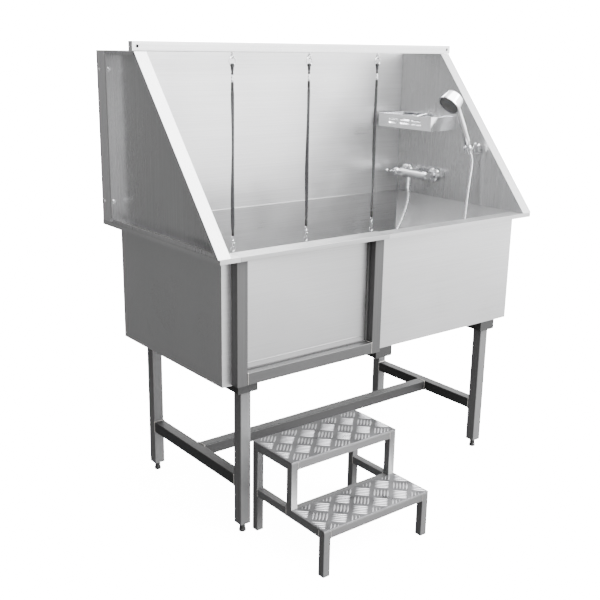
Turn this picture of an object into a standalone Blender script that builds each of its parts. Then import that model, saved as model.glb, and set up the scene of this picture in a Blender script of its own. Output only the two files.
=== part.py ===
"""Stainless-steel pet grooming bathtub with a lift-up door, folded splashes and loose steps.

Everything is modelled around the basin: X runs along it, -Y is the door side, Z is up and the
floor is at zero.  One empty moves the whole model so that the origin is at the bottom centre.
"""
import math

import bmesh
import bpy
from mathutils import Matrix, Vector

GAP = 0.0003                   # clearance between pieces that touch
SHEET = 0.0015                 # sheet-metal thickness
TUBE = 0.038                   # legs, braces and door frame
TUBE_WALL = 0.0015

BASIN_X = 0.635                # half length over the walls
BASIN_Y = 0.3035               # half width over the walls
FLOOR_Z = 0.515                # underside of the basin
RIM_Z = 0.916                  # top of the rim
RIM_LIP = 0.014
RIM_SIDE_X = 0.671
RIM_FRONT_Y = -0.3535
RIM_BACK_Y = 0.362

POST_LEFT_X = -0.601           # left faces of the two door posts
POST_MIDDLE_X = -0.069
POST_FRONT_Y = -0.333
POST_BACK_Y = -0.290
FRAME_Z = FLOOR_Z + SHEET + GAP
SILL_Z = 0.555
GROOVE_FRONT_Y = -0.3075
GROOVE_BACK_Y = -0.2925
GROOVE_DEPTH = 0.018
DOOR_MARGIN = 0.009            # visible seal beside the door skin
DOOR_BACK_Y = -0.2915
TONGUE = 0.014

PANEL_X = 0.634                # inner faces of the side splashes
PANEL_TOP_FRONT_Y = 0.098
PANEL_FRONT_Y = -0.3525
SPLASH_TOP_Z = 1.465
SPLASH_BOTTOM_Z = RIM_Z + GAP
BACK_Y = 0.307                 # front face of the back splash
PANEL_BACK_Y = BACK_Y - GAP
RETURN_DEPTH = 0.054
FLANGE = RIM_SIDE_X - PANEL_X
DIAGONAL_FLANGE = 0.042
RETURN_LIP = 0.012
LIP_INSET = 0.006
SCREW_X = 0.657
SCREW_HEIGHTS = (0.984, 1.407)

RAIL_DEPTH = 0.025
RAIL_HEIGHT = 0.030
RAIL_END_X = 0.681
RAIL_Y = 0.1105
RAIL_Z = SPLASH_TOP_Z + GAP
RAIL_BOLT_X = 0.654
RAIL_HOLE_X = 0.664
RAIL_HOLE_RADIUS = 0.005

LEG_X = 0.541
LEG_Y = 0.271
LEG_BOTTOM_Z = 0.031
CROSS_RAIL_WIDTH = 0.072
CROSS_RAIL_HEIGHT = 0.035
BRACE_TOP_Z = 0.193

DRAIN = Vector((0.22, 0.0, FLOOR_Z))
DRAIN_HOLE_RADIUS = 0.026

LEASH_XS = (-0.317, 0.0, 0.317)
EYE_Z = RAIL_Z - 0.0125
EYE_RADIUS = 0.0065
EYE_WIRE = 0.0018
RING_RADIUS = 0.0125
RING_WIRE = 0.0016
STRAP_TOP_Z = 1.371
STRAP_BOTTOM_Z = 0.8635
STRAP_DIAMETER = 0.010

MIXER = Vector((0.578, 0.170, 1.003))
INLET_SPACING = 0.150
CAP_RADIUS = 0.0178
OUTLET_Y = 0.180
OUTLET_END_Z = 0.955
HOSE_DIAMETER = 0.012
HOSE_START = Vector((0.578, 0.180, 0.9297))

SHOWER_Y = -0.115
SHOWER_NECK = Vector((0.515, SHOWER_Y, 1.272))
SHOWER_END = Vector((0.583, SHOWER_Y, 1.138))
HEAD_CENTRE = Vector((0.4785, SHOWER_Y, 1.3035))
HEAD_AXIS = Vector((-0.73, 0.0, -0.683)).normalized()
NUT_LENGTH = 0.028
BLOCK_WIDTH = 0.029
BLOCK_HEIGHT = 0.027

BASKET_X = (0.497, PANEL_X - GAP)
BASKET_Y = (0.0, 0.285)
BASKET_Z = (1.185, 1.237)
SLOT_LENGTH = 0.044
SLOT_RADIUS = 0.003

STEP_TUBE = 0.025
STEP_X = (-0.506, -0.083)
STEP_FRONT_Y = -0.634
STEP_MIDDLE_Y = -0.477
STEP_BACK_Y = -0.277
STEP_LOW_Z = 0.150
STEP_HIGH_Z = 0.304
PLATE = 0.003

ORIGIN_SHIFT_Y = -(RIM_BACK_Y + STEP_FRONT_Y) / 2

# The hose: out of the mixer, down to the basin floor, round in a loop and up to the handset.
HOSE_ROUTE = (
    (0.578, 0.180, 0.9297), (0.578, 0.180, 0.912), (0.575, 0.180, 0.890), (0.569, 0.181, 0.865),
    (0.560, 0.183, 0.838), (0.546, 0.187, 0.804), (0.529, 0.192, 0.768), (0.509, 0.199, 0.725),
    (0.485, 0.206, 0.676), (0.458, 0.210, 0.624), (0.427, 0.206, 0.577), (0.389, 0.189, 0.5405),
    (0.344, 0.154, 0.5240), (0.308, 0.104, 0.5228), (0.291, 0.050, 0.5228), (0.294, -0.003, 0.5228),
    (0.319, -0.053, 0.5228), (0.362, -0.092, 0.5240), (0.413, -0.114, 0.533), (0.464, -0.122, 0.558),
    (0.507, -0.124, 0.600), (0.539, -0.122, 0.653), (0.562, -0.120, 0.712), (0.577, -0.118, 0.775),
    (0.586, -0.1165, 0.840), (0.5925, -0.1155, 0.906), (0.599, -0.115, 0.972), (0.6054, -0.115, 1.0275),
    (0.6087, -0.115, 1.0590), (0.6077, -0.115, 1.0823), (0.60047, -0.115, 1.10354),
    (0.59594, -0.115, 1.11246),
)
HOSE_POINTS = 78


def clear_scene():
    for old in list(bpy.data.objects):
        bpy.data.objects.remove(old, do_unlink=True)


def new_collection(name):
    collection = bpy.data.collections.new(name)
    bpy.context.scene.collection.children.link(collection)
    return collection


def finish(name, color, metallic, roughness):
    """A material for one part."""
    material = bpy.data.materials.new(name)
    material.use_nodes = True
    shader = material.node_tree.nodes["Principled BSDF"]
    shader.inputs["Base Color"].default_value = (*color, 1.0)
    shader.inputs["Metallic"].default_value = metallic
    shader.inputs["Roughness"].default_value = roughness
    return material


def steel(name, value=0.62, roughness=0.34):
    return finish(name, (value, value, value * 1.01), 1.0, roughness)


def chrome(name):
    return finish(name, (0.78, 0.79, 0.80), 1.0, 0.08)


def black(name, roughness=0.6):
    return finish(name, (0.02, 0.02, 0.022), 0.0, roughness)


clear_scene()
PARTS = new_collection("pet_bathtub")
CUTTERS = new_collection("cutters")
ROOT = bpy.data.objects.new("basin_axes", None)
ROOT.location = (0.0, ORIGIN_SHIFT_Y, 0.0)
PARTS.objects.link(ROOT)


def add_mesh(name, bm, material=None, collection=PARTS):
    """Turn a bmesh into an object in basin coordinates."""
    mesh = bpy.data.meshes.new(name)
    bm.to_mesh(mesh)
    bm.free()
    part = bpy.data.objects.new(name, mesh)
    collection.objects.link(part)
    part.parent = ROOT
    if material:
        mesh.materials.append(material)
    return part


def pivot(name, location, parent=None):
    """An empty on a joint's axis, for the pieces that move on it."""
    empty = bpy.data.objects.new(name, None)
    PARTS.objects.link(empty)
    empty.parent = parent or ROOT
    base = parent["place"] if parent else (0.0, 0.0, 0.0)
    empty.location = Vector(location) - Vector(base)
    empty["place"] = tuple(location)
    return empty


def mount_on(empty, *pieces):
    """Hang pieces on a joint's empty without moving them."""
    for piece in pieces:
        piece.parent = empty
        piece.matrix_parent_inverse = Matrix.Translation(-Vector(empty["place"]))


def box_bmesh(low, high):
    low, high = Vector(low), Vector(high)
    bm = bmesh.new()
    scale = Matrix.Diagonal((*(high - low), 1.0))
    bmesh.ops.create_cube(bm, size=1.0, matrix=Matrix.Translation((low + high) / 2) @ scale)
    return bm


def box(name, low, high, material=None, collection=PARTS):
    return add_mesh(name, box_bmesh(low, high), material, collection)


def apply_modifiers(part):
    """Replace the mesh by what its modifiers make of it."""
    graph = bpy.context.evaluated_depsgraph_get()
    mesh = bpy.data.meshes.new_from_object(part.evaluated_get(graph))
    part.modifiers.clear()
    part.data = mesh
    return part


def combine(part, operation, others):
    """Cut or join other solids with a part and remove them."""
    for index, other in enumerate(others):
        modifier = part.modifiers.new(f"{operation.lower()}_{index}", "BOOLEAN")
        modifier.operation = operation
        modifier.solver = "EXACT"
        modifier.object = other
    bpy.context.view_layer.update()
    apply_modifiers(part)
    for other in others:
        bpy.data.objects.remove(other, do_unlink=True)
    return part


def cutter_box(low, high):
    part = box("cutter", low, high, None, CUTTERS)
    part.hide_render = True
    part.display_type = "WIRE"
    return part


def cylinder_bmesh(start, end, radius, end_radius=None, segments=20):
    start, end = Vector(start), Vector(end)
    bm = bmesh.new()
    bmesh.ops.create_cone(
        bm, cap_ends=True, segments=segments, radius1=radius,
        radius2=radius if end_radius is None else end_radius, depth=(end - start).length)
    turn = Vector((0, 0, 1)).rotation_difference(end - start).to_matrix().to_4x4()
    bmesh.ops.transform(bm, matrix=Matrix.Translation((start + end) / 2) @ turn, verts=bm.verts)
    return bm


def cylinder(name, start, end, radius, material=None, end_radius=None, segments=20, collection=PARTS):
    bm = cylinder_bmesh(start, end, radius, end_radius, segments)
    return add_mesh(name, bm, material, collection)


def cutter_cylinder(start, end, radius, segments=20):
    part = cylinder("cutter", start, end, radius, None, None, segments, CUTTERS)
    part.hide_render = True
    part.display_type = "WIRE"
    return part


def bevel(part, width, segments=2, angle=40.0):
    modifier = part.modifiers.new("bevel", "BEVEL")
    modifier.width = width
    modifier.segments = segments
    modifier.limit_method = "ANGLE"
    modifier.angle_limit = math.radians(angle)
    return part


def solidify(part, thickness=SHEET, offset=-1.0):
    modifier = part.modifiers.new("solidify", "SOLIDIFY")
    modifier.thickness = thickness
    modifier.offset = offset
    modifier.use_even_offset = True
    bpy.context.view_layer.update()
    return apply_modifiers(part)


def turned(name, profile, origin, axis, material, steps=24, closed=False):
    """A turned piece: profile points are (radius, height along the axis), top to bottom."""
    bm = bmesh.new()
    verts = [bm.verts.new((radius, 0.0, height)) for radius, height in profile]
    for first, second in zip(verts, verts[1:]):
        bm.edges.new((first, second))
    if closed:
        bm.edges.new((verts[-1], verts[0]))
    part = add_mesh(name, bm, material)
    screw = part.modifiers.new("screw", "SCREW")
    screw.angle = math.tau
    screw.steps = steps
    screw.render_steps = steps
    screw.use_merge_vertices = True
    screw.merge_threshold = 0.00005
    bpy.context.view_layer.update()
    apply_modifiers(part)
    turn = Vector((0, 0, 1)).rotation_difference(Vector(axis)).to_matrix().to_4x4()
    part.data.transform(Matrix.Translation(Vector(origin)) @ turn)
    part.data.shade_smooth()
    part.data.set_sharp_from_angle(angle=math.radians(35.0))
    return part


def torus_profile(ring_radius, wire_radius, sides=8):
    return [(ring_radius + wire_radius * math.cos(turn), -wire_radius * math.sin(turn))
            for turn in (math.tau * side / sides for side in range(sides))]


def ring(name, centre, axis, ring_radius, wire_radius, material, steps=20):
    profile = torus_profile(ring_radius, wire_radius)
    return turned(name, profile, centre, axis, material, steps, closed=True)


def round_tube(name, points, radius, material, resolution=2):
    """A capped round tube along points, made a closed mesh."""
    curve = bpy.data.curves.new(name, "CURVE")
    curve.dimensions = "3D"
    curve.bevel_depth = radius
    curve.bevel_resolution = resolution
    curve.use_fill_caps = True
    spline = curve.splines.new("POLY")
    spline.points.add(len(points) - 1)
    for knot, point in zip(spline.points, points):
        knot.co = (*point, 1.0)
    guide = bpy.data.objects.new(name + "_guide", curve)
    PARTS.objects.link(guide)
    bpy.context.view_layer.update()
    graph = bpy.context.evaluated_depsgraph_get()
    mesh = bpy.data.meshes.new_from_object(guide.evaluated_get(graph))
    bpy.data.objects.remove(guide, do_unlink=True)
    bm = bmesh.new()
    bm.from_mesh(mesh)
    bmesh.ops.remove_doubles(bm, verts=bm.verts, dist=0.00005)
    bmesh.ops.recalc_face_normals(bm, faces=bm.faces)
    return add_mesh(name, bm, material)


def smooth_route(route, count):
    """Points at even spacing on a Catmull-Rom curve through the route."""
    knots = [Vector(point) for point in route]
    knots = [2 * knots[0] - knots[1]] + knots + [2 * knots[-1] - knots[-2]]
    fine = []
    for before, start, end, after in zip(knots, knots[1:], knots[2:], knots[3:]):
        for step in range(16):
            t = step / 16
            fine.append(0.5 * (2 * start + (end - before) * t
                               + (2 * before - 5 * start + 4 * end - after) * t * t
                               + (3 * start - before - 3 * end + after) * t ** 3))
    fine.append(knots[-2])
    lengths = [0.0]
    for first, second in zip(fine, fine[1:]):
        lengths.append(lengths[-1] + (second - first).length)
    points, at = [], 0
    for index in range(count):
        target = lengths[-1] * index / (count - 1)
        while at < len(fine) - 2 and lengths[at + 1] < target:
            at += 1
        share = (target - lengths[at]) / (lengths[at + 1] - lengths[at])
        points.append(fine[at].lerp(fine[at + 1], min(share, 1.0)))
    return points


def square_tube(name, low, high, axis, material, wall=TUBE_WALL):
    """A rectangular tube from low to high, open at both ends of its axis."""
    bm = box_bmesh(low, high)
    ends = [face for face in bm.faces if abs(face.normal[axis]) > 0.9]
    bmesh.ops.delete(bm, geom=ends, context="FACES_ONLY")
    return solidify(add_mesh(name, bm, material), wall)


def loft(rings):
    """Quads between rings of points of equal length, each ring closed."""
    bm = bmesh.new()
    rows = [[bm.verts.new(point) for point in points] for points in rings]
    for lower, upper in zip(rows, rows[1:]):
        for index in range(len(lower)):
            after = (index + 1) % len(lower)
            bm.faces.new((lower[index], lower[after], upper[after], upper[index]))
    return bm, rows


def prism(name, points, offset, material=None):
    """A flat polygon given thickness by an offset."""
    bm = bmesh.new()
    near = [bm.verts.new(point) for point in points]
    far = [bm.verts.new(Vector(point) + Vector(offset)) for point in points]
    bm.faces.new(near)
    bm.faces.new(list(reversed(far)))
    for index in range(len(points)):
        after = (index + 1) % len(points)
        bm.faces.new((near[after], near[index], far[index], far[after]))
    bmesh.ops.recalc_face_normals(bm, faces=bm.faces)
    return add_mesh(name, bm, material)


def inset_outline(corners, distance):
    """The corners of a convex counter-clockwise outline moved inwards by a distance."""
    moved = []
    for before, corner, after in zip(corners[-1:] + corners[:-1], corners, corners[1:] + corners[:1]):
        first, second = (corner - before).normalized(), (after - corner).normalized()
        turn = first.x * second.y - first.y * second.x
        moved.append(corner + (second - first) * (distance / turn))
    return moved


def folded_tray(name, outline, flanges, lips, frame, material):
    """A folded sheet: the outline is counter-clockwise in the frame's first two axes.

    flanges and lips give each edge's fold width and its return, 0 where there is none.
    """
    origin, across, up, out = (Vector(item) for item in frame)

    def place(point, depth):
        return origin + across * point.x + up * point.y + out * depth

    corners = [Vector(point) for point in outline]
    inner = inset_outline(corners, SHEET)
    tray = prism(name, [place(corner, 0.0) for corner in corners], out * SHEET, material)
    folds = []
    for index, (corner, width, lip) in enumerate(zip(corners, flanges, lips)):
        after = (index + 1) % len(corners)
        strip = (corner, corners[after], inner[after], inner[index])
        folds.append(prism("flange", [place(point, 0.0) for point in strip], out * width))
        if lip:
            along = (corners[after] - corner).normalized()
            inward = Vector((-along.y, along.x))
            start, end = corner + along * LIP_INSET, corners[after] - along * LIP_INSET
            strip = (start, end, end + (inward - along) * lip, start + (inward + along) * lip)
            folds.append(prism("lip", [place(point, width) for point in strip], out * -SHEET))
    return combine(tray, "UNION", folds)


# ---------------------------------------------------------------- basin and door

def rim_ring(side_x, front_y, back_y, height):
    """Corner points of one level of the basin, counter-clockwise from above."""
    return [(-side_x, front_y, height), (side_x, front_y, height),
            (side_x, back_y, height), (-side_x, back_y, height)]


def make_basin():
    """Both skins of the pressed shell: up the outside, over the rim's lip and down the inside."""
    under_rim, lip_z = RIM_Z - SHEET, RIM_Z - RIM_LIP
    wall = (BASIN_X, -BASIN_Y, BASIN_Y)
    inner_wall = (BASIN_X - SHEET, SHEET - BASIN_Y, BASIN_Y - SHEET)
    edge = (RIM_SIDE_X, RIM_FRONT_Y, RIM_BACK_Y)
    inner_edge = (RIM_SIDE_X - SHEET, RIM_FRONT_Y + SHEET, RIM_BACK_Y - SHEET)
    bm, rows = loft([
        rim_ring(*wall, FLOOR_Z), rim_ring(*wall, under_rim), rim_ring(*inner_edge, under_rim),
        rim_ring(*inner_edge, lip_z), rim_ring(*edge, lip_z), rim_ring(*edge, RIM_Z),
        rim_ring(*inner_wall, RIM_Z), rim_ring(*inner_wall, FLOOR_Z + SHEET)])
    bm.faces.new(list(reversed(rows[0])))
    bm.faces.new(rows[-1])
    basin = add_mesh("basin", bm, steel("basin_steel"))
    opening = cutter_box(
        (POST_LEFT_X - GAP, RIM_FRONT_Y - 0.01, FLOOR_Z + SHEET + GAP / 2),
        (POST_MIDDLE_X + TUBE + GAP, POST_BACK_Y + GAP, RIM_Z + 0.02))
    drain_hole = cutter_cylinder(DRAIN - Vector((0, 0, 0.02)), DRAIN + Vector((0, 0, 0.02)),
                                 DRAIN_HOLE_RADIUS + GAP, 28)
    return combine(basin, "DIFFERENCE", [opening, drain_hole])


def make_post(name, left_x, groove_side):
    """A door post with a groove for the door's tongue on one side (+1 right, -1 left)."""
    right_x = left_x + TUBE
    top = RIM_Z - SHEET - GAP
    post = box(name, (left_x, POST_FRONT_Y, FRAME_Z), (right_x, POST_BACK_Y, top),
               steel(name + "_steel", 0.5))
    face_x = right_x if groove_side > 0 else left_x
    inner_x = face_x - groove_side * GROOVE_DEPTH
    low_x, high_x = sorted((inner_x, face_x + groove_side * 0.01))
    groove = cutter_box((low_x, GROOVE_FRONT_Y, FRAME_Z + 0.03), (high_x, GROOVE_BACK_Y, top + 0.01))
    closed_x = left_x if groove_side > 0 else right_x
    hollow_xs = sorted((closed_x + groove_side * TUBE_WALL, inner_x - groove_side * TUBE_WALL))
    hollow = cutter_box((hollow_xs[0], POST_FRONT_Y + TUBE_WALL, FRAME_Z - 0.01),
                        (hollow_xs[1], POST_BACK_Y - TUBE_WALL, top - TUBE_WALL))
    return combine(post, "DIFFERENCE", [groove, hollow])


def make_sill():
    return square_tube(
        "door_sill_rail", (POST_LEFT_X + TUBE + GAP, POST_FRONT_Y, FRAME_Z),
        (POST_MIDDLE_X - GAP, POST_BACK_Y, SILL_Z), 0, steel("sill_steel", 0.5))


def make_seal():
    """A U of black rubber in the grooves and along the sill."""
    rubber = black("seal_rubber", 0.8)
    left_face, right_face = POST_LEFT_X + TUBE, POST_MIDDLE_X
    top = RIM_Z - SHEET - 0.002
    front, back = GROOVE_FRONT_Y + GAP, GROOVE_FRONT_Y + 0.0068
    reach, inner = DOOR_MARGIN - 0.002, GROOVE_DEPTH - GAP
    bottom = SILL_Z + GAP
    seal = box("door_seal", (left_face - inner, front, bottom), (left_face + reach, back, top), rubber)
    right = box("seal_right", (right_face - reach, front, bottom), (right_face + inner, back, top), rubber)
    base = box("seal_base", (left_face + GAP, front, bottom),
               (right_face - GAP, DOOR_BACK_Y, bottom + 0.003), rubber)
    return combine(seal, "UNION", [right, base])


def make_door():
    """The door skin, its tongues and its own length of rim, as one welded piece."""
    left_face, right_face = POST_LEFT_X + TUBE, POST_MIDDLE_X
    bottom = SILL_Z + 0.003 + 2 * GAP
    top = RIM_Z - SHEET / 2
    tongue_front = GROOVE_FRONT_Y + 0.0068 + GAP
    tongue_top = RIM_Z - SHEET - 0.004
    door = box("door_panel", (left_face + DOOR_MARGIN, -BASIN_Y, bottom),
               (right_face - DOOR_MARGIN, DOOR_BACK_Y, top), steel("door_steel", 0.66))
    tongues = box("tongues", (left_face - TONGUE, tongue_front, bottom),
                  (right_face + TONGUE, tongue_front + 0.005, tongue_top))
    rim_low_x, rim_high_x = POST_LEFT_X + 0.0004, POST_MIDDLE_X + TUBE - 0.0004
    rim = box("rim", (rim_low_x, RIM_FRONT_Y, RIM_Z - SHEET), (rim_high_x, DOOR_BACK_Y, RIM_Z))
    lip = box("lip", (rim_low_x, RIM_FRONT_Y, RIM_Z - RIM_LIP),
              (rim_high_x, RIM_FRONT_Y + SHEET, RIM_Z - SHEET / 2))
    hollow = cutter_box(
        (left_face + DOOR_MARGIN + SHEET, SHEET - BASIN_Y, bottom - 0.01),
        (right_face - DOOR_MARGIN - SHEET, DOOR_BACK_Y - SHEET, RIM_Z - 2 * SHEET))
    combine(door, "UNION", [tongues, rim, lip])
    combine(door, "DIFFERENCE", [hollow])
    slide = pivot("door_slide", ((left_face + right_face) / 2, -BASIN_Y, SILL_Z))
    mount_on(slide, door)
    return door


# ---------------------------------------------------------------- splashes and top rail

def make_back_splash():
    half, low, high = RIM_SIDE_X, SPLASH_BOTTOM_Z, SPLASH_TOP_Z
    outline = [(-half, low), (half, low), (half, high), (-half, high)]
    panel = folded_tray(
        "back_splash", outline, [RETURN_DEPTH] * 4, [0, RETURN_LIP, RETURN_LIP, RETURN_LIP],
        ((0, BACK_Y, 0), (-1, 0, 0), (0, 0, 1), (0, 1, 0)), steel("back_splash_steel", 0.7, 0.3))
    holes = []
    for height in SCREW_HEIGHTS:
        for side in (-1, 1):
            holes.append(cutter_cylinder(
                (side * (half - 0.01), BACK_Y + 0.035, height),
                (side * (half + 0.01), BACK_Y + 0.035, height), 0.004, 12))
    return combine(panel, "DIFFERENCE", holes)


def make_side_splash(name, side):
    """A trapezoid tray, folded outwards on all four edges; side is -1 left, +1 right."""
    back, front, top_front = PANEL_BACK_Y, PANEL_FRONT_Y, PANEL_TOP_FRONT_Y
    low, high = SPLASH_BOTTOM_Z, SPLASH_TOP_Z
    if side > 0:
        outline = [(front, low), (back, low), (back, high), (top_front, high)]
        flanges = [FLANGE, FLANGE, FLANGE, DIAGONAL_FLANGE]
    else:
        outline = [(-back, low), (-front, low), (-top_front, high), (-back, high)]
        flanges = [FLANGE, DIAGONAL_FLANGE, FLANGE, FLANGE]
    frame = ((side * PANEL_X, 0, 0), (0, side, 0), (0, 0, 1), (side, 0, 0))
    panel = folded_tray(name, outline, flanges, [RETURN_LIP] * 4, frame, steel(name + "_steel", 0.6))
    bolt_hole = cutter_cylinder((side * RAIL_BOLT_X, RAIL_Y, SPLASH_TOP_Z - 0.01),
                                (side * RAIL_BOLT_X, RAIL_Y, SPLASH_TOP_Z + 0.01), 0.0034, 12)
    return combine(panel, "DIFFERENCE", [bolt_hole])


def make_top_rail():
    low_y, high_y = RAIL_Y - RAIL_DEPTH / 2, RAIL_Y + RAIL_DEPTH / 2
    top, wall = RAIL_Z + RAIL_HEIGHT, TUBE_WALL
    rail = box("top_rail", (-RAIL_END_X, low_y, RAIL_Z), (RAIL_END_X, high_y, top),
               steel("top_rail_steel", 0.72))
    cuts = [cutter_box((-RAIL_END_X + wall, low_y + wall, RAIL_Z + wall),
                       (RAIL_END_X - wall, high_y - wall, top - wall))]
    for side in (-1, 1):
        hole, bolt, middle = side * RAIL_HOLE_X, side * RAIL_BOLT_X, RAIL_Z + RAIL_HEIGHT / 2
        cuts.append(cutter_cylinder((hole, low_y - 0.01, middle), (hole, low_y + 0.006, middle),
                                    RAIL_HOLE_RADIUS, 16))
        cuts.append(cutter_cylinder((bolt, RAIL_Y, RAIL_Z - 0.01), (bolt, RAIL_Y, RAIL_Z + 0.006), 0.0034, 12))
    return combine(rail, "DIFFERENCE", cuts)


def make_rail_bolt(name, side):
    top = SPLASH_TOP_Z - SHEET - GAP
    profile = [(0, 0.014), (0.003, 0.014), (0.003, 0.0), (0.0062, 0.0), (0.0062, -0.005), (0, -0.005)]
    return turned(name, profile, (side * RAIL_BOLT_X, RAIL_Y, top), (0, 0, 1), steel(name + "_steel"), 12)


# ---------------------------------------------------------------- frame

def make_leg(name, x, y):
    half = TUBE / 2
    top = FLOOR_Z - CROSS_RAIL_HEIGHT - 2 * GAP
    leg = box(name, (x - half, y - half, LEG_BOTTOM_Z), (x + half, y + half, top),
              steel(name + "_steel", 0.5))
    inner = half - TUBE_WALL
    hollow = cutter_box((x - inner, y - inner, LEG_BOTTOM_Z + 0.004), (x + inner, y + inner, top + 0.01))
    thread = cutter_cylinder((x, y, LEG_BOTTOM_Z - 0.01), (x, y, LEG_BOTTOM_Z + 0.02), 0.0053, 12)
    return combine(leg, "DIFFERENCE", [hollow, thread])


def make_foot(name, x, y):
    """A screw-in levelling foot: a stem in the leg and a round black pad below it."""
    shoulder = LEG_BOTTOM_Z - GAP
    profile = [(0, 0.060), (0.005, 0.060), (0.005, shoulder), (0.0095, shoulder), (0.0095, 0.010),
               (0.0115, 0.008), (0.0115, 0.0015), (0.0100, 0.0), (0, 0.0)]
    foot = turned(name, profile, (x, y, 0), (0, 0, 1), black(name + "_plastic", 0.5), 16)
    mount_on(pivot(name + "_screw", (x, y, 0.0)), foot)
    return foot


def make_leg_frame():
    half = TUBE / 2
    for x_name, x in (("left", -LEG_X), ("right", LEG_X)):
        for y_name, y in (("front", -LEG_Y), ("back", LEG_Y)):
            make_leg(f"leg_{y_name}_{x_name}", x, y)
            make_foot(f"foot_{y_name}_{x_name}", x, y)
        square_tube(f"end_brace_{x_name}", (x - half, -LEG_Y + half + GAP, BRACE_TOP_Z - TUBE),
                    (x + half, LEG_Y - half - GAP, BRACE_TOP_Z), 1, steel(f"brace_{x_name}_steel", 0.5))
    square_tube("long_brace", (-LEG_X + half + GAP, -half, BRACE_TOP_Z - TUBE),
                (LEG_X - half - GAP, half, BRACE_TOP_Z), 0, steel("long_brace_steel", 0.5))


def make_cross_rail(name, x):
    """A box rail under the basin, closed at the front and open at the back."""
    half, top = CROSS_RAIL_WIDTH / 2, FLOOR_Z - GAP
    bottom = top - CROSS_RAIL_HEIGHT
    rail = box(name, (x - half, -BASIN_Y + 0.002, bottom), (x + half, BASIN_Y - 0.002, top),
               steel(name + "_steel", 0.45))
    wall = 0.002
    hollow = cutter_box((x - half + wall, -BASIN_Y + 0.002 + wall, bottom + wall),
                        (x + half - wall, BASIN_Y + 0.02, top - wall))
    return combine(rail, "DIFFERENCE", [hollow])


# ---------------------------------------------------------------- drain

def make_drain():
    top = SHEET + GAP
    hole = DRAIN_HOLE_RADIUS
    flange = [(0.036, top + 0.0006), (0.036, top), (hole, top), (hole, -0.030), (0.022, -0.030),
              (0.022, top - 0.004), (0.0245, top - 0.004), (0.0245, top + 0.002), (0.033, top + 0.002)]
    turned("drain_flange", flange, DRAIN, (0, 0, 1), chrome("drain_flange_chrome"), 28, closed=True)
    tail = [(0.033, -0.004), (0.033, -0.016), (0.0285, -0.022), (0.0205, -0.034), (0.0205, -0.110),
            (0.0185, -0.110), (0.0185, -0.0325), (0.0265, -0.0325), (0.0265, -0.004)]
    turned("drain_tailpiece", tail, DRAIN, (0, 0, 1), black("tailpiece_plastic", 0.45), 24, closed=True)
    disc = [(0, 0.0045), (0.004, 0.0045), (0.005, 0.002), (0.021, 0.002), (0.0235, 0.0005),
            (0.0235, -0.0015), (0, -0.0015)]
    strainer = turned("drain_strainer", disc, DRAIN, (0, 0, 1), chrome("strainer_chrome"), 28)
    holes = []
    for index in range(8):
        turn = math.tau * (index + 0.3) / 8
        centre = DRAIN + Vector((math.cos(turn), math.sin(turn), 0)) * 0.0145
        lift = Vector((0, 0, 0.01))
        holes.append(cutter_cylinder(centre - lift, centre + lift, 0.0032, 8))
    combine(strainer, "DIFFERENCE", holes)
    mount_on(pivot("strainer_lift", DRAIN), strainer)


# ---------------------------------------------------------------- leashes

def make_eye_bolt(name, x):
    eye = ring(name, (x, RAIL_Y, EYE_Z), (1, 0, 0), EYE_RADIUS, EYE_WIRE, chrome(name + "_chrome"), 16)
    top = RAIL_Z - GAP
    stem = cylinder("stem", (x, RAIL_Y, EYE_Z + EYE_RADIUS), (x, RAIL_Y, top), 0.0024, segments=12)
    collar = cylinder("collar", (x, RAIL_Y, top - 0.002), (x, RAIL_Y, top), 0.0046, segments=12)
    return combine(eye, "UNION", [stem, collar])


def make_leash(label, x):
    """Ring, webbing loop with its swivel, strap and snap hook, hanging below an eye bolt."""
    eye_bottom = EYE_Z - EYE_RADIUS
    make_eye_bolt(f"leash_eye_{label}", x)
    ring_centre = eye_bottom + EYE_WIRE + RING_WIRE + GAP - RING_RADIUS
    ring_bottom = ring_centre - RING_RADIUS
    split_ring = ring(f"leash_ring_{label}", (x, RAIL_Y, ring_centre), (0, 1, 0), RING_RADIUS, RING_WIRE,
                      chrome(f"leash_ring_{label}_chrome"), 24)
    swing = pivot(f"leash_swing_{label}", (x, RAIL_Y, eye_bottom))
    mount_on(swing, split_ring)

    loop_top, loop_bottom = ring_bottom + 0.0065, ring_bottom - 0.024
    web = black(f"leash_loop_{label}_webbing", 0.8)
    loop = box(f"leash_loop_{label}", (x - 0.006, RAIL_Y - 0.0055, loop_bottom),
               (x + 0.006, RAIL_Y + 0.0055, loop_top), web)
    passage = cutter_cylinder((x - 0.02, RAIL_Y, ring_bottom + 0.0009),
                              (x + 0.02, RAIL_Y, ring_bottom + 0.0009), 0.0036, 16)
    combine(loop, "DIFFERENCE", [passage])
    swivel = cylinder("swivel", (x, RAIL_Y, STRAP_TOP_Z + GAP), (x, RAIL_Y, loop_bottom + 0.004), 0.0045,
                      segments=12)
    combine(loop, "UNION", [swivel])

    strap = round_tube(f"leash_strap_{label}", [(x, RAIL_Y, STRAP_TOP_Z), (x, RAIL_Y, STRAP_BOTTOM_Z)],
                       STRAP_DIAMETER / 2, black(f"leash_strap_{label}_webbing", 0.8), 2)

    hook_top = STRAP_BOTTOM_Z - GAP
    hook = ring(f"leash_hook_{label}", (x, RAIL_Y, hook_top - 0.045), (0, 1, 0), 0.0085, 0.002,
                chrome(f"leash_hook_{label}_chrome"), 20)
    shank = cylinder("shank", (x, RAIL_Y, hook_top - 0.0375), (x, RAIL_Y, hook_top), 0.0045, segments=12)
    combine(hook, "UNION", [shank])

    sway = pivot(f"leash_sway_{label}", (x, RAIL_Y, ring_bottom), swing)
    mount_on(sway, loop, strap)
    mount_on(pivot(f"leash_turn_{label}", (x, RAIL_Y, STRAP_BOTTOM_Z), sway), hook)


# ---------------------------------------------------------------- mixer, hose and hand shower

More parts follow.
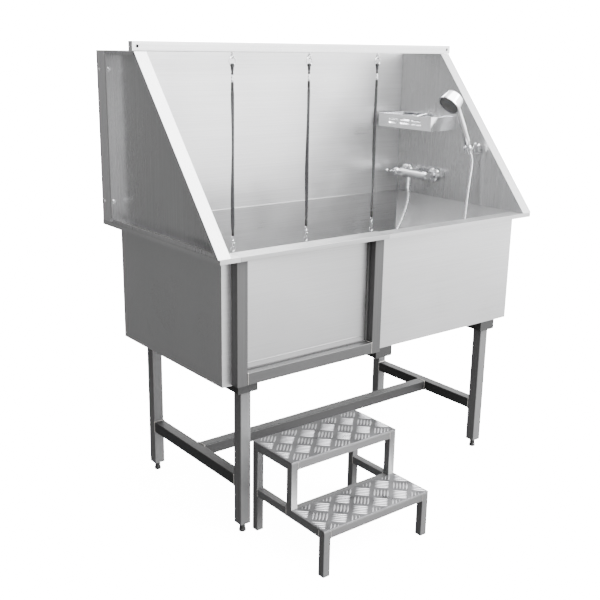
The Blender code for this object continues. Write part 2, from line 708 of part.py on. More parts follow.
def make_mixer_union(name, y):
    """A wall union: escutcheon, neck and coupling nut, from the wall to the mixer body."""
    length = PANEL_X - GAP - (MIXER.x + 0.018 + GAP)
    profile = [(0, length), (0.015, length), (0.015, length - 0.014), (0.0125, length - 0.016),
               (0.0125, 0.017), (0.022, 0.016), (0.027, 0.012), (0.0295, 0.005), (0.0295, 0.0), (0, 0.0)]
    return turned(name, profile, (PANEL_X - GAP, y, MIXER.z), (-1, 0, 0), chrome(name + "_chrome"), 24)


def make_mixer():
    half = INLET_SPACING / 2
    make_mixer_union("mixer_union_front", MIXER.y - half)
    make_mixer_union("mixer_union_back", MIXER.y + half)
    low_y, high_y = MIXER.y - half - 0.018, MIXER.y + half - 0.010
    length = high_y - low_y
    profile = [(0, length), (0.014, length), (0.016, length - 0.003), (0.016, length - 0.012),
               (0.018, length - 0.016), (0.018, 0.004), (0.0155, 0.0), (0, 0.0)]
    body = turned("mixer_body", profile, (MIXER.x, low_y, MIXER.z), (0, 1, 0), chrome("mixer_body_chrome"))
    outlet = cylinder("outlet", (MIXER.x, OUTLET_Y, OUTLET_END_Z), (MIXER.x, OUTLET_Y, MIXER.z), 0.0095)
    combine(body, "UNION", [outlet])

    ball = Vector((MIXER.x, high_y + 0.0160, MIXER.z))
    cap_profile = [(CAP_RADIUS * math.cos(turn), CAP_RADIUS * math.sin(turn))
                   for turn in (math.radians(90 - 15 * step) for step in range(13))]
    cap_profile[0], cap_profile[-1] = (0, CAP_RADIUS), (0, -CAP_RADIUS)
    cap = turned("mixer_cap", cap_profile, ball, (0, 1, 0), chrome("mixer_cap_chrome"), 24)
    flat = cutter_box(ball + Vector((-0.03, -0.04, -0.03)), ball + Vector((0.03, GAP - 0.0160, 0.03)))
    combine(cap, "DIFFERENCE", [flat])
    rise = Vector((-math.cos(math.radians(8)), 0, math.sin(math.radians(8))))
    lever_profile = [(0, 0.044), (0.0045, 0.0435), (0.0062, 0.041), (0.0066, 0.030), (0.0060, 0.006),
                     (0.0068, 0.0), (0, 0.0)]
    lever = turned("mixer_lever", lever_profile, ball + rise * (CAP_RADIUS + 2 * GAP), rise,
                   chrome("lever_chrome"), 16)
    flow = pivot("mixer_flow", ball)
    mount_on(flow, cap)
    mount_on(pivot("mixer_heat", ball, flow), lever)

    top, bottom = OUTLET_END_Z - GAP, HOSE_START.z + GAP
    nut = [(0, top), (0.0105, top), (0.0105, top - 0.012), (0.0080, top - 0.014), (0.0074, bottom), (0, bottom)]
    turned("hose_nut", nut, (MIXER.x, OUTLET_Y, 0), (0, 0, 1), chrome("hose_nut_chrome"), 20)


def make_hand_shower():
    """Handle and drum-shaped head, with the spray face and the hose's cone nut."""
    along = (SHOWER_NECK - SHOWER_END).normalized()
    length = (SHOWER_NECK - SHOWER_END).length
    reach = 0.032
    handle_profile = [(0, length + reach), (0.010, length + reach), (0.0095, length - 0.01),
                      (0.0115, length * 0.55), (0.0115, 0.012), (0.0105, 0.0), (0, 0.0)]
    handset = turned("hand_shower", handle_profile, SHOWER_END, along, chrome("hand_shower_chrome"), 20)
    drum_profile = [(0, -0.022), (0.0325, -0.022), (0.0350, -0.0195), (0.0415, 0.014), (0.042, 0.017),
                    (0.042, 0.021), (0.0375, 0.021), (0.0375, 0.017), (0, 0.017)]
    drum_profile.reverse()
    drum = turned("drum", drum_profile, HEAD_CENTRE, HEAD_AXIS, None, 32)
    combine(handset, "UNION", [drum])
    face_profile = [(0, 0.0215), (0.030, 0.0212), (0.0370, 0.0200), (0.0370, 0.0173), (0, 0.0173)]
    face = turned("spray_face", face_profile, HEAD_CENTRE, HEAD_AXIS, black("spray_face_plastic", 0.4), 32)
    nut_profile = [(0, 0), (0.0122, 0), (0.0108, -NUT_LENGTH + 0.006), (0.0085, -NUT_LENGTH), (0, -NUT_LENGTH)]
    nut = turned("hand_shower_nut", nut_profile, SHOWER_END - along * GAP, along,
                 chrome("hand_shower_nut_chrome"), 20)
    mount_on(pivot("hand_shower_lift", SHOWER_END), handset, face, nut)
    return along


def make_shower_bracket(along):
    """A wall plate and block with a slotted cone through it for the hose nut."""
    shell_profile = [(0, -0.001), (0.0190, -0.001), (0.0180, -0.025), (0, -0.025)]
    bracket = turned("shower_bracket", shell_profile, SHOWER_END, along, chrome("bracket_chrome"), 24)
    middle = SHOWER_END - along * 0.013
    wall = Vector((PANEL_X - GAP, SHOWER_Y, middle.z))
    block = box("block", middle - Vector((0, BLOCK_WIDTH / 2, BLOCK_HEIGHT / 2)),
                wall + Vector((0, BLOCK_WIDTH / 2, BLOCK_HEIGHT / 2)))
    bevel(block, 0.004, 2)
    plate = turned("plate", [(0, 0.008), (0.018, 0.008), (0.0225, 0.005), (0.0225, 0.0), (0, 0.0)],
                   wall, (-1, 0, 0), None, 24)
    combine(bracket, "UNION", [block, plate])
    cone = turned("cone", [(0, 0.03), (0.0146, 0.03), (0.0112, -0.04), (0, -0.04)], SHOWER_END, along, None, 24)
    slot = cutter_box(middle + Vector((-0.04, -0.0068, -0.03)), middle + Vector((-0.002, 0.0068, 0.03)))
    return combine(bracket, "DIFFERENCE", [cone, slot])


def make_hose():
    points = smooth_route(HOSE_ROUTE, HOSE_POINTS)
    return round_tube("shower_hose", points, HOSE_DIAMETER / 2, chrome("hose_metal"), 3)


# ---------------------------------------------------------------- soap basket

def cutter_slot(face_x, start_y, height):
    """The cutters of one round-ended slot through the basket's front."""
    ends = [start_y, start_y + SLOT_LENGTH]
    cuts = [cutter_box((face_x - 0.01, ends[0], height - SLOT_RADIUS),
                       (face_x + 0.006, ends[1], height + SLOT_RADIUS))]
    for end in ends:
        cuts.append(cutter_cylinder((face_x - 0.009, end, height), (face_x + 0.005, end, height),
                                    SLOT_RADIUS, 12))
    return cuts


def make_basket():
    """An open tray with slots in its front and floor, on the right splash."""
    (low_x, high_x), (low_y, high_y), (low_z, high_z) = BASKET_X, BASKET_Y, BASKET_Z
    basket = box("soap_basket", (low_x, low_y, low_z), (high_x, high_y, high_z), chrome("basket_chrome"))
    wall = 0.002
    cuts = [cutter_box((low_x + wall, low_y + wall, low_z + wall),
                       (high_x - wall, high_y - wall, high_z + 0.02))]
    for index in range(3):
        for height in (0.019, 0.033):
            cuts += cutter_slot(low_x, low_y + 0.056 + 0.062 * index, low_z + height)
    for index in range(7):
        start = low_y + 0.022 + 0.036 * index
        cuts.append(cutter_box((low_x + 0.02, start, low_z - 0.01), (high_x - 0.02, start + 0.022, low_z + 0.01)))
    return combine(basket, "DIFFERENCE", cuts)


# ---------------------------------------------------------------- steps

def step_members():
    """Low and high corners of every tube of the steps' frame."""
    left, right = STEP_X
    tube, low, high = STEP_TUBE, STEP_LOW_Z - PLATE - GAP, STEP_HIGH_Z - PLATE - GAP
    front, middle, back = STEP_FRONT_Y, STEP_MIDDLE_Y, STEP_BACK_Y
    members = []
    for x in (left, right - tube):
        members.append(((x, front, 0.0), (x + tube, front + tube, low)))
        members.append(((x, back - tube, 0.0), (x + tube, back, high)))
        members.append(((x, middle, low - tube), (x + tube, middle + tube, high)))
        members.append(((x, front, low - tube), (x + tube, back, low)))
        members.append(((x, middle, high - tube), (x + tube, back, high)))
    for y, z in ((front, low), (middle, low), (middle, high), (back - tube, high)):
        members.append(((left, y, z - tube), (right, y + tube, z)))
    return members


def make_steps():
    outer, inner = [], []
    for low, high in step_members():
        outer.append(box("member", low, high))
        shrink = Vector((TUBE_WALL,) * 3)
        low_in, high_in = Vector(low) + shrink, Vector(high) - shrink
        if low[2] == 0.0:
            low_in.z = -0.01
        inner.append(cutter_box(low_in, high_in))
    frame = outer[0]
    frame.name = "steps_frame"
    frame.data.materials.append(steel("steps_frame_steel", 0.5))
    combine(frame, "UNION", outer[1:])
    combine(inner[0], "UNION", inner[1:])
    combine(frame, "DIFFERENCE", [inner[0]])
    left, right = STEP_X
    lower = box("tread_lower", (left, STEP_FRONT_Y, STEP_LOW_Z - PLATE),
                (right, STEP_MIDDLE_Y - GAP, STEP_LOW_Z), finish("tread_lower_plate", (0.75,) * 3, 1.0, 0.35))
    upper = box("tread_upper", (left, STEP_MIDDLE_Y, STEP_HIGH_Z - PLATE),
                (right, STEP_BACK_Y, STEP_HIGH_Z), finish("tread_upper_plate", (0.75,) * 3, 1.0, 0.35))
    place = pivot("steps_place", ((left + right) / 2, STEP_BACK_Y, 0.0))
    mount_on(place, frame, lower, upper)


def make_all():
    make_basin()
    make_post("door_post_left", POST_LEFT_X, 1)
    make_post("door_post_middle", POST_MIDDLE_X, -1)
    make_sill()
    make_seal()
    make_door()
    make_back_splash()
    make_side_splash("side_splash_left", -1)
    make_side_splash("side_splash_right", 1)
    make_top_rail()
    make_rail_bolt("rail_bolt_left", -1)
    make_rail_bolt("rail_bolt_right", 1)
    make_leg_frame()
    make_cross_rail("cross_rail_left", -LEG_X)
    make_cross_rail("cross_rail_middle", 0.017)
    make_cross_rail("cross_rail_right", LEG_X)
    make_drain()
    for label, x in zip(("left", "middle", "right"), LEASH_XS):
        make_leash(label, x)
    make_mixer()
    along = make_hand_shower()
    make_shower_bracket(along)
    make_hose()
    make_basket()
    make_steps()


make_all()
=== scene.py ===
"""Pet grooming bathtub: finishes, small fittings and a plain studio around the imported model."""
import math

import bmesh
import bpy
from mathutils import Matrix, Vector


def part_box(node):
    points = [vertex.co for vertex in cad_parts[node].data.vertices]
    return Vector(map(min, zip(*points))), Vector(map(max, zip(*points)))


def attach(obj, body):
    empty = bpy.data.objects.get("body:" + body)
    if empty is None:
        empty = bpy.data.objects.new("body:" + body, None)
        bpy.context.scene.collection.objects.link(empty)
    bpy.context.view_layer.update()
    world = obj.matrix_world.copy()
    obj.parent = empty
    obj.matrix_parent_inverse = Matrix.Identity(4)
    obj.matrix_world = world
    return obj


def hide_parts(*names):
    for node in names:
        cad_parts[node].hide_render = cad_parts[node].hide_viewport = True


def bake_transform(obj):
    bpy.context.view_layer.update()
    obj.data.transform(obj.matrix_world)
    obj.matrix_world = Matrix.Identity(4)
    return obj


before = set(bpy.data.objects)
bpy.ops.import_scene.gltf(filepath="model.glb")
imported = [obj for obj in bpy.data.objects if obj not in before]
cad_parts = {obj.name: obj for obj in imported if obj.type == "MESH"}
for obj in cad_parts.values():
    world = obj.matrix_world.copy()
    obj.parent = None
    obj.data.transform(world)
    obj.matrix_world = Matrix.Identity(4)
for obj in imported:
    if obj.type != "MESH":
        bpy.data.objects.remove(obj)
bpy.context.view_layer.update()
LABELS = ("left", "middle", "right")
UP = (0, 0, 1)

# ---------------------------------------------------------------- camera

AZIMUTH, ELEVATION, ROLL = -38.241, 15.833, 0.976
FOCAL_LENGTH, SENSOR_WIDTH = 54.6, 36.0      # millimetres
CAMERA_AT = (-2.0094, -2.2746, 1.5000)
SHIFT_Y = 0.136                               # from the basin's own axes to the frame's


def make_camera():
    azimuth, elevation, roll = (math.radians(angle) for angle in (AZIMUTH, ELEVATION, ROLL))
    back = Vector((math.sin(azimuth) * math.cos(elevation),
                   -math.cos(azimuth) * math.cos(elevation), math.sin(elevation)))
    right = Vector(UP).cross(back).normalized()
    up = back.cross(right)
    turned_right = right * math.cos(roll) + up * math.sin(roll)
    turned_up = up * math.cos(roll) - right * math.sin(roll)
    data = bpy.data.cameras.new("camera")
    data.lens = FOCAL_LENGTH
    data.sensor_width = SENSOR_WIDTH
    camera = bpy.data.objects.new("camera", data)
    bpy.context.scene.collection.objects.link(camera)
    rotation = Matrix((turned_right, turned_up, back)).transposed().to_4x4()
    camera.matrix_world = Matrix.Translation(CAMERA_AT) @ rotation
    bpy.context.scene.camera = camera


make_camera()


# ---------------------------------------------------------------- node helpers

COLOR_A, COLOR_B, COLOR_RESULT = 6, 7, 2      # the Mix node's sockets for colours
NUMBER_A, NUMBER_B, NUMBER_RESULT = 2, 3, 0   # and those for numbers
RANGE_SOCKETS = ("From Min", "From Max", "To Min", "To Max")


class Look:
    """A procedural material on a Principled shader."""

    def __init__(self, name, color, metallic=0.0, roughness=0.5, **sockets):
        self.material = bpy.data.materials.new(name)
        self.material.use_nodes = True
        self.tree = self.material.node_tree
        self.shader = self.tree.nodes["Principled BSDF"]
        self.color = color
        self.set("Base Color", (*color, 1.0))
        self.set("Metallic", metallic)
        self.set("Roughness", roughness)
        for socket, value in sockets.items():
            self.set(socket.replace("_", " "), value)
        self.place = self.node("ShaderNodeTexCoord").outputs["Object"]

    def node(self, kind, **inputs):
        node = self.tree.nodes.new(kind)
        for name, value in inputs.items():
            self.feed(node.inputs[name.replace("_", " ")], value)
        return node

    def feed(self, socket, value):
        if isinstance(value, bpy.types.NodeSocket):
            self.tree.links.new(value, socket)
        else:
            socket.default_value = value

    def set(self, socket, value):
        self.feed(self.shader.inputs[socket], value)

    def stretched(self, scale, place=None):
        node = self.node("ShaderNodeMapping", Scale=scale)
        self.feed(node.inputs["Vector"], place or self.place)
        return node.outputs["Vector"]

    def noise(self, scale, detail=3.0, place=None, roughness=0.5, distortion=0.0):
        node = self.node("ShaderNodeTexNoise", Scale=scale, Detail=detail, Roughness=roughness,
                         Distortion=distortion)
        self.feed(node.inputs["Vector"], place or self.place)
        return node.outputs["Fac"]

    def wave(self, scale, direction="X", place=None, distortion=0.0):
        node = self.node("ShaderNodeTexWave", Scale=scale, Distortion=distortion)
        node.bands_direction = direction
        self.feed(node.inputs["Vector"], place or self.place)
        return node.outputs["Fac"]

    def remap(self, value, low, high, from_low=0.0, from_high=1.0):
        node = self.node("ShaderNodeMapRange")
        self.feed(node.inputs["Value"], value)
        for name, number in zip(RANGE_SOCKETS, (from_low, from_high, low, high)):
            node.inputs[name].default_value = number
        return node.outputs["Result"]

    def math(self, operation, first, second):
        node = self.node("ShaderNodeMath")
        node.operation = operation
        self.feed(node.inputs[0], first)
        self.feed(node.inputs[1], second)
        return node.outputs[0]

    def between(self, factor, first, second):
        node = self.node("ShaderNodeMix")
        node.data_type = "RGBA"
        self.feed(node.inputs["Factor"], factor)
        node.inputs[COLOR_A].default_value = (*first, 1.0)
        node.inputs[COLOR_B].default_value = (*second, 1.0)
        return node.outputs[COLOR_RESULT]

    def bump(self, height, distance, strength=1.0, onto=None):
        node = self.node("ShaderNodeBump", Distance=distance, Strength=strength)
        self.feed(node.inputs["Height"], height)
        if onto:
            self.feed(node.inputs["Normal"], onto)
        self.set("Normal", node.outputs["Normal"])
        return node.outputs["Normal"]


def shade(color, factor):
    return tuple(min(1.0, value * factor) for value in color)


GRAIN_ACROSS, GRAIN_ALONG = 520.0, 2.5        # brush marks per metre, across and along them
GRAIN_DEPTH = 0.00006


def brushed_steel(name, along, value, roughness, metallic=0.93, warp=0.0011):
    """Sheet or tube brushed along an axis, with smudges and the slight waviness of thin sheet."""
    color = (value, value * 1.002, value * 1.012)
    look = Look(name, color, metallic, roughness)
    scale = [GRAIN_ACROSS] * 3
    scale["XYZ".index(along)] = GRAIN_ALONG
    grain = look.noise(1.0, 4.0, look.stretched(scale), 0.65)
    fine = look.noise(2.3, 2.0, look.stretched(scale), 0.6)
    smudge = look.noise(4.2, 5.0, None, 0.6, 0.4)
    cloud = look.noise(1.3, 2.0)
    tone = look.math("MULTIPLY", look.remap(grain, 0.90, 1.08, 0.3, 0.7),
                     look.remap(cloud, 0.95, 1.04, 0.3, 0.7))
    scaled = look.node("ShaderNodeVectorMath")
    scaled.operation = "SCALE"
    scaled.inputs[0].default_value = color
    look.feed(scaled.inputs["Scale"], tone)
    look.set("Base Color", scaled.outputs["Vector"])
    rough = look.math("ADD", look.remap(fine, -0.05, 0.06, 0.3, 0.7),
                      look.remap(smudge, -0.05, 0.05, 0.35, 0.7))
    look.set("Roughness", look.math("ADD", rough, roughness))
    sheet = look.bump(cloud, warp, 0.6)
    look.bump(grain, GRAIN_DEPTH, 0.55, sheet)
    return look.material


def polished_chrome(name, value=0.80, roughness=0.07):
    """Plated metal with faint smears and water spots."""
    look = Look(name, (value, value * 1.005, value * 1.02), 1.0, roughness)
    smear = look.noise(38.0, 4.0, None, 0.6)
    water = look.noise(260.0, 2.0)
    streaks = look.remap(smear, roughness - 0.02, roughness + 0.07, 0.4, 0.75)
    spots = look.remap(water, 0.0, 0.05, 0.62, 0.75)
    look.set("Roughness", look.math("ADD", streaks, spots))
    look.bump(look.noise(90.0, 2.0), 0.00004, 0.4)
    return look.material


def webbing_cloth(name, twill=820.0):
    """Black woven webbing."""
    look = Look(name, (0.012, 0.012, 0.014), 0.0, 0.72, Sheen_Weight=0.25, Sheen_Roughness=0.4)
    across = look.wave(twill, "Z")
    along = look.wave(twill * 0.8, "DIAGONAL")
    weave = look.math("MULTIPLY", across, along)
    look.set("Base Color", look.between(weave, (0.007, 0.007, 0.008), (0.026, 0.026, 0.029)))
    look.set("Roughness", look.remap(look.noise(60.0), 0.62, 0.85))
    look.bump(weave, 0.0004, 0.8)
    return look.material


def moulded_plastic(name, value=0.016, roughness=0.45, grain=900.0):
    """Plastic or rubber with a fine moulded grain and uneven gloss."""
    look = Look(name, (value, value, value * 1.05), 0.0, roughness)
    gloss = look.noise(25.0, 4.0)
    look.set("Roughness", look.remap(gloss, roughness - 0.08, roughness + 0.12, 0.3, 0.7))
    tone = look.noise(12.0, 4.0)
    look.set("Base Color", look.between(tone, (value * 0.8,) * 3, (value * 1.5,) * 3))
    look.bump(look.noise(grain, 2.0), 0.00015, 0.5)
    return look.material


def tread_metal(name, value):
    """Rolled aluminium plate, worn in patches."""
    look = Look(name, (value, value, value * 1.03), 0.92, 0.32)
    rolled = look.noise(1.0, 3.0, look.stretched((6.0, 260.0, 260.0)), 0.6)
    worn = look.noise(14.0, 5.0, None, 0.65, 0.5)
    look.set("Base Color", look.between(worn, shade(look.color, 0.75), shade(look.color, 1.2)))
    look.set("Roughness", look.math("ADD", look.remap(rolled, 0.24, 0.34),
                                    look.remap(worn, -0.02, 0.12, 0.35, 0.7)))
    look.bump(rolled, 0.00012, 0.6)
    return look.material


def weld_metal(name):
    """Weld bead with heat tint."""
    look = Look(name, (0.50, 0.48, 0.45), 0.95, 0.36)
    heat = look.noise(70.0, 3.0)
    look.set("Base Color", look.between(heat, (0.36, 0.34, 0.33), (0.62, 0.60, 0.57)))
    look.set("Roughness", look.remap(look.noise(240.0), 0.28, 0.5))
    look.bump(look.noise(900.0, 2.0), 0.0001, 0.5)
    return look.material


# The sheets below are one brushed stainless steel in copies of different base value: the lower values of
# the basin (0.52), left splash (0.50), right splash (0.42) and door (0.40), against the back splash's
# 0.64, are painted shade for how light falls on each panel.
SHEET_X = brushed_steel("sheet_brushed_x", "X", 0.64, 0.36)
LEFT_SHEET = brushed_steel("left_sheet", "Z", 0.50, 0.32)
RIGHT_SHEET = brushed_steel("right_sheet", "Z", 0.42, 0.30)
BASIN_SHEET = brushed_steel("basin_sheet", "X", 0.52, 0.35)
DOOR_SHEET = brushed_steel("door_sheet", "X", 0.40, 0.36)
TUBE_WARP = 0.0002                            # a tube's face is flatter than a wide sheet
# The frame's tubes are the rail's brushed steel (0.66) made far darker. The legs (0.16), door posts and
# sill (0.085), long brace (0.060), and end braces and cross rails (0.045) carry painted shade for their
# place low under the tub and in the door's recess.
LEG_TUBE = brushed_steel("leg_tube", "Z", 0.16, 0.46, 0.62, TUBE_WARP)
BRACE_TUBE = brushed_steel("brace_tube", "X", 0.060, 0.46, 0.62, TUBE_WARP)
END_TUBE = brushed_steel("end_tube", "Y", 0.045, 0.46, 0.62, TUBE_WARP)
STEP_TUBE = brushed_steel("step_tube", "X", 0.15, 0.46, 0.62, TUBE_WARP)
POST_TUBE = brushed_steel("post_tube", "Z", 0.085, 0.42, 0.70, TUBE_WARP)
SILL_TUBE = brushed_steel("sill_tube", "X", 0.085, 0.42, 0.70, TUBE_WARP)
RAIL_STEEL = brushed_steel("rail_brushed_x", "X", 0.66, 0.32, 0.93, TUBE_WARP)
CHROME = polished_chrome("polished_chrome")
NICKEL = polished_chrome("nickel_plate", 0.66, 0.16)
WEBBING = webbing_cloth("black_webbing")
PLASTIC = moulded_plastic("black_plastic")
RUBBER = moulded_plastic("black_rubber", 0.013, 0.72, 500.0)
SEAL_RUBBER = moulded_plastic("grey_black_rubber", 0.045, 0.65, 500.0)
SPRAY_PLASTIC = moulded_plastic("spray_face_plastic", 0.10, 0.35)
# The tread plate and its lugs are one aluminium; the plate's much lower base value (0.25 against the
# lugs' 0.62) is painted shade between the raised bars.
TREAD = tread_metal("checker_plate", 0.25)
LUG_METAL = tread_metal("checker_lugs", 0.62)
WELD = weld_metal("weld_bead")


# ---------------------------------------------------------------- mesh helpers

def add_piece(name, bm, material, body="tub", sharp=32.0):
    """A new object from a bmesh; edges bent by more than sharp degrees stay crisp."""
    mesh = bpy.data.meshes.new(name)
    bm.to_mesh(mesh)
    bm.free()
    mesh.materials.append(material)
    piece = bpy.data.objects.new(name, mesh)
    bpy.context.scene.collection.objects.link(piece)
    mesh.shade_smooth()
    mesh.set_sharp_from_angle(angle=math.radians(sharp))
    if body:
        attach(piece, body)
    return piece


WELD_DISTANCE = 0.00002
FLAT_ANGLE = math.radians(0.6)
ROUNDED_ANGLE = math.radians(25.0)            # edges that turn outwards by more than this are rounded


def solid_of(node):
    """The node's own mesh, corners welded, flat faces merged, and those of over four corners cut."""
    bm = bmesh.new()
    bm.from_mesh(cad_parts[node].data)
    bmesh.ops.remove_doubles(bm, verts=bm.verts, dist=WELD_DISTANCE)
    bmesh.ops.dissolve_limit(bm, angle_limit=FLAT_ANGLE, verts=bm.verts, edges=bm.edges)
    many = [face for face in bm.faces if len(face.verts) > 4]
    bmesh.ops.triangulate(bm, faces=many, quad_method="BEAUTY", ngon_method="EAR_CLIP")
    return bm


def rounded(node, material, body="tub", width=0.0005, segments=2, shortest=0.0):
    """Replace a node by its own shape with its outer edges longer than shortest rounded."""
    bm = solid_of(node)
    edges = [edge for edge in bm.edges
             if len(edge.link_faces) == 2 and edge.calc_length() > shortest
             and edge.calc_face_angle_signed(0.0) > ROUNDED_ANGLE]
    bmesh.ops.bevel(bm, geom=edges, offset=width, segments=segments, profile=0.5, affect="EDGES",
                    clamp_overlap=True, miter_outer="ARC")
    piece = add_piece(node + "_finish", bm, material, body, 40.0)
    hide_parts(node)
    flat = piece.modifiers.new("weighted", "WEIGHTED_NORMAL")
    flat.keep_sharp = True
    flat.weight = 80


def dress(node, material):
    """Give a node that keeps its shape a better material."""
    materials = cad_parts[node].data.materials
    if len(materials) == 0:
        materials.append(material)
    for index in range(len(materials)):
        materials[index] = material


def sweep(points, radius, sides=10, closed=False, squash=1.0, flat_to=None, bm=None, caps=True):
    """A tube through points; radius is a number or a function of (share, index)."""
    bm = bm or bmesh.new()
    points = [Vector(point) for point in points]
    count = len(points)
    rings = []
    side_way = None
    for index, point in enumerate(points):
        before = points[(index - 1) % count] if closed or index else points[0]
        after = points[(index + 1) % count] if closed or index < count - 1 else points[-1]
        tangent = (after - before).normalized()
        if flat_to is not None:
            side_way = Vector(flat_to(index / max(1, count - 1)) if callable(flat_to) else flat_to)
        elif side_way is None:
            side_way = tangent.orthogonal()
        side_way = (side_way - tangent * side_way.dot(tangent)).normalized()
        other = tangent.cross(side_way)
        size = radius(index / max(1, count - 1), index) if callable(radius) else radius
        ring = []
        for side in range(sides):
            turn = math.tau * side / sides
            ring.append(bm.verts.new(point + side_way * math.cos(turn) * size
                                     + other * math.sin(turn) * size * squash))
        rings.append(ring)
    pairs = list(zip(rings, rings[1:])) + ([(rings[-1], rings[0])] if closed else [])
    for first, second in pairs:
        for side in range(sides):
            after = (side + 1) % sides
            bm.faces.new((first[side], first[after], second[after], second[side]))
    if caps and not closed:
        bm.faces.new(list(reversed(rings[0])))
        bm.faces.new(rings[-1])
    return bm


def lathe(profile, origin, axis, steps=28, bm=None):
    """A turned solid; profile points are (radius, height), from the top down, closed on the axis."""
    bm = bm or bmesh.new()
    turn = Vector(UP).rotation_difference(Vector(axis).normalized()).to_matrix()
    rings = []
    for radius, height in profile:
        if radius < 1e-7:
            rings.append([bm.verts.new(Vector(origin) + turn @ Vector((0, 0, height)))])
            continue
        angles = [math.tau * step / steps for step in range(steps)]
        rings.append([bm.verts.new(Vector(origin) + turn @ Vector((
            radius * math.cos(angle), radius * math.sin(angle), height))) for angle in angles])
    for upper, lower in zip(rings, rings[1:]):
        for step in range(steps):
            after = (step + 1) % steps
            if len(upper) == 1 and len(lower) == 1:
                continue
            if len(upper) == 1:
                bm.faces.new((upper[0], lower[step], lower[after]))
            elif len(lower) == 1:
                bm.faces.new((upper[step], lower[0], upper[after]))
            else:
                bm.faces.new((upper[step], lower[step], lower[after], upper[after]))
    return bm


def slab(low, high, bevel=0.0006, bm=None):
    """A box with rounded edges."""
    low, high = Vector(low), Vector(high)
    part = bmesh.new()
    scale = Matrix.Diagonal((*(high - low), 1.0))
    bmesh.ops.create_cube(part, size=1.0, matrix=Matrix.Translation((low + high) / 2) @ scale)
    if bevel:
        bmesh.ops.bevel(part, geom=part.edges[:], offset=bevel, segments=2, profile=0.5, affect="EDGES",
                        clamp_overlap=True)
    return merge(part, bm)


def merge(part, bm=None):
    """Add one bmesh to another."""
    if bm is None:
        return part
    mesh = bpy.data.meshes.new("joined")
    part.to_mesh(mesh)
    part.free()
    bm.from_mesh(mesh)
    bpy.data.meshes.remove(mesh)
    return bm


ROUTE_STEPS = 16


def smooth_route(route, count):
    """Evenly spaced points on a Catmull-Rom curve, and the curve's length."""
    knots = [Vector(point) for point in route]
    knots = [2 * knots[0] - knots[1]] + knots + [2 * knots[-1] - knots[-2]]
    fine = []
    for before, start, end, after in zip(knots, knots[1:], knots[2:], knots[3:]):
        for step in range(ROUTE_STEPS):
            t = step / ROUTE_STEPS
            fine.append(0.5 * (2 * start + (end - before) * t
                               + (2 * before - 5 * start + 4 * end - after) * t * t
                               + (3 * start - before - 3 * end + after) * t ** 3))
    fine.append(knots[-2])
    lengths = [0.0]
    for first, second in zip(fine, fine[1:]):
        lengths.append(lengths[-1] + (second - first).length)
    points, at = [], 0
    for index in range(count):
        target = lengths[-1] * index / (count - 1)
        while at < len(fine) - 2 and lengths[at + 1] < target:
            at += 1
        share = (target - lengths[at]) / (lengths[at + 1] - lengths[at])
        points.append(fine[at].lerp(fine[at + 1], min(share, 1.0)))
    return points, lengths[-1]


# ---------------------------------------------------------------- shower hose

HOSE_ROUTE = (
    (0.578, 0.180, 0.9297), (0.578, 0.180, 0.912), (0.575, 0.180, 0.890), (0.569, 0.181, 0.865),
    (0.560, 0.183, 0.838), (0.546, 0.187, 0.804), (0.529, 0.192, 0.768), (0.509, 0.199, 0.725),
    (0.485, 0.206, 0.676), (0.458, 0.210, 0.624), (0.427, 0.206, 0.577), (0.389, 0.189, 0.5405),
    (0.344, 0.154, 0.5240), (0.308, 0.104, 0.5228), (0.291, 0.050, 0.5228), (0.294, -0.003, 0.5228),
    (0.319, -0.053, 0.5228), (0.362, -0.092, 0.5240), (0.413, -0.114, 0.533), (0.464, -0.122, 0.558),
    (0.507, -0.124, 0.600), (0.539, -0.122, 0.653), (0.562, -0.120, 0.712), (0.577, -0.118, 0.775),
    (0.586, -0.1165, 0.840), (0.5925, -0.1155, 0.906), (0.599, -0.115, 0.972), (0.6054, -0.115, 1.0275),
    (0.6087, -0.115, 1.0590), (0.6077, -0.115, 1.0823), (0.60047, -0.115, 1.10354),
    (0.59594, -0.115, 1.11246),
)
HOSE_DIAMETER = 0.012
RIDGE_PITCH, RIDGE_DEPTH = 0.0030, 0.0007
ROWS_PER_RIDGE = 4


def make_hose():
    """A metal spiral hose: a tube whose radius rises and falls at every turn of the strip."""
    route = [(x, y + SHIFT_Y, z) for x, y, z in HOSE_ROUTE]
    length = smooth_route(route, 80)[1]
    turns = round(length / RIDGE_PITCH)
    points, length = smooth_route(route, turns * ROWS_PER_RIDGE + 1)
    outer = HOSE_DIAMETER / 2
    sizes = (outer - RIDGE_DEPTH, outer - 0.0001, outer, outer - 0.0001)
    tube = sweep(points, lambda share, index: sizes[index % ROWS_PER_RIDGE], 14)
    hose = add_piece("hose", tube, NICKEL, None, 60.0)
    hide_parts("shower_hose")
    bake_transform(hose)


make_hose()


# ---------------------------------------------------------------- leashes

STRAP_WIDTH = 0.0130
STRAP_POINTS = 56
STRAP_SQUASH = 0.26                           # its thickness over its width
STRAP_TWIST, STRAP_TURN = 0.40, -0.25         # radians
FERRULE_REACH = 0.012


def strap_line(low, high, phase):
    """The hanging strap's centre line, straight but for the slack of light webbing."""
    points = []
    for index in range(STRAP_POINTS):
        share = index / (STRAP_POINTS - 1)
        sway = math.sin(math.pi * share)
        points.append(Vector((low.x + sway * 0.0022 * math.sin(5.1 * share + phase),
                              low.y + 0.0008 * sway * math.sin(7.0 * share + phase),
                              high.z + (low.z - high.z) * share)))
    return points


